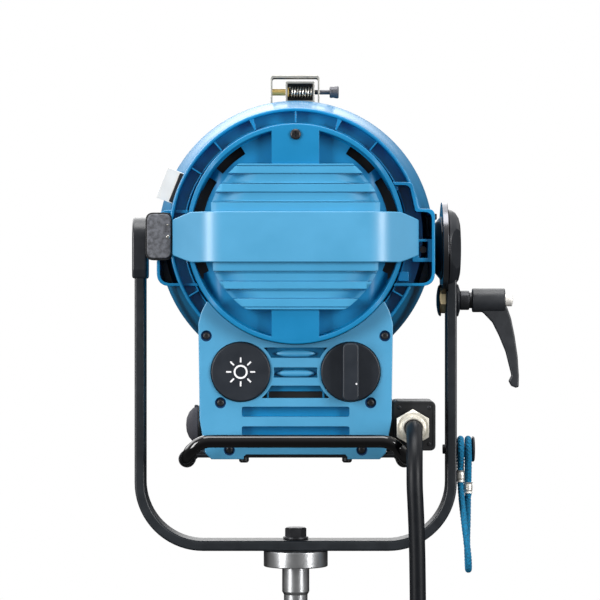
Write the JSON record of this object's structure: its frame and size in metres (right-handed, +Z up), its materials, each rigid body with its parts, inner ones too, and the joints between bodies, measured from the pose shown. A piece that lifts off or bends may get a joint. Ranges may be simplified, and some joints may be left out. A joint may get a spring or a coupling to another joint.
{
  "type": "fresnel spotlight",
  "caption": "Fresnel spotlight head that tilts in a stirrup on a spigot, with a rear focus knob, a tilt brake lever, a lamp cable and a cable strap.",
  "frame": {"origin": "on the spigot's axis, at the shoulder that rests on the stand's receiver", "axes": "+Z up along the spigot, +Y the way the light leaves, +X towards the arm with the tilt brake"},
  "size_m": [0.397, 0.3455, 1.024],
  "materials": {
    "housing_blue": "satin blue stove enamel on die-cast metal",
    "stirrup_black": "fine black powder coat",
    "tube_gloss_black": "gloss black lacquer",
    "spigot_metal": "turned",
    "dark_steel": "black oxide",
    "bright_steel": "nickel plated",
    "plunger_metal": "turned",
    "brass": "turned",
    "cover_plastic": "fine moulded texture",
    "lever_plastic": "fine moulded texture",
    "knob_plastic": "satin moulded",
    "dark_plastic": "matt",
    "block_grey": "rough wrinkle coat",
    "crimp_metal": "pressed",
    "rope_blue": "braided polyester",
    "cable_rubber": "satin",
    "connector_metal": "hard anodised",
    "carriage_metal": "machined",
    "ceramic": "unglazed",
    "mirror": "polished",
    "lens_glass": "pressed clear glass",
    "lamp_glass": "clear quartz"
  },
  "bodies": {
    "stirrup": {"stirrup_bar": "stirrup_black", "spigot": "spigot_metal", "spigot_bolt": "dark_steel", "left_arm_cover": "cover_plastic", "right_arm_cover": "cover_plastic", "brake_inner_jaw": "cover_plastic", "brake_nut": "brass", "brake_outer_washer": "cover_plastic", "rope_peg": "cover_plastic", "rope_peg_nut": "dark_steel", "strap_rope": "rope_blue", "strap_crimp_inner": "crimp_metal", "strap_crimp_outer": "crimp_metal", "lamp_cable": "cable_rubber", "cable_connector": "connector_metal", "connector_ring": "connector_metal"},
    "brake": {"brake_lever": "lever_plastic", "brake_spindle": "dark_steel"},
    "button": {"lever_button": "bright_steel"},
    "head": {"front_housing": "housing_blue", "lens_bezel": "housing_blue", "fresnel_lens": "lens_glass", "lens_retainer": "dark_steel", "accessory_bracket_bottom": "bright_steel", "accessory_bracket_left": "bright_steel", "accessory_bracket_right": "bright_steel", "side_bracket": "bright_steel", "latch_bail": "bright_steel", "latch_guide": "bright_steel", "latch_spring": "dark_steel", "rear_cover": "housing_blue", "rear_band": "housing_blue", "cover_screw": "dark_steel", "lower_housing": "housing_blue", "rear_panel": "housing_blue", "vent_baffle": "housing_blue", "badge_disc": "knob_plastic", "ignitor_box": "dark_plastic", "side_cap_socket": "dark_plastic", "side_cap": "knob_plastic", "left_trunnion_block": "block_grey", "left_trunnion_pin": "dark_steel", "right_trunnion_pin": "dark_steel", "right_hub_flange": "cover_plastic", "brake_disc": "bright_steel", "skid_tube": "tube_gloss_black", "skid_bracket_rear": "dark_steel", "skid_bracket_front": "dark_steel", "cable_box": "stirrup_black", "cable_box_lid": "stirrup_black", "cable_gland": "bright_steel", "guide_rail_left": "bright_steel", "guide_rail_right": "bright_steel"},
    "latch": {"latch_plunger": "plunger_metal"},
    "focus": {"focus_knob": "knob_plastic", "focus_screw": "bright_steel"},
    "carriage": {"lamp_carriage": "carriage_metal", "lamp_holder": "ceramic", "lamp": "lamp_glass", "reflector": "mirror"}
  },
  "joints": [
    {"name": "head_tilt", "type": "hinge", "parent": "stirrup", "child": "head", "pos_m": [0, 0, 0.3273], "axis": [1, 0, 0], "range_deg": [-90, 90], "deforming": ["lamp_cable"]},
    {"name": "brake_turn", "type": "hinge", "parent": "stirrup", "child": "brake", "pos_m": [0.18, 0, 0.2737], "axis": [1, 0, 0], "continuous": true},
    {"name": "button_press", "type": "slide", "parent": "brake", "child": "button", "axis": [-1, 0, 0], "range_m": [0, 0.003], "stiffness_N_per_m": 500, "springref_m": -0.002},
    {"name": "latch_pull", "type": "slide", "parent": "head", "child": "latch", "axis": [1, 0, 0], "range_m": [0, 0.008], "stiffness_N_per_m": 500, "springref_m": -0.006, "deforming": ["latch_spring"]},
    {"name": "focus_turn", "type": "hinge", "parent": "head", "child": "focus", "pos_m": [0.055, -0.08, 0.202], "axis": [0, 1, 0], "range_deg": [0, 900]},
    {"name": "carriage_slide", "type": "slide", "parent": "head", "child": "carriage", "axis": [0, 1, 0], "range_m": [0, 0.05]}
  ],
  "couplings": [
    {"joint": "focus_turn", "follows": "carriage_slide", "rad_per_m": 314.16}
  ]
}
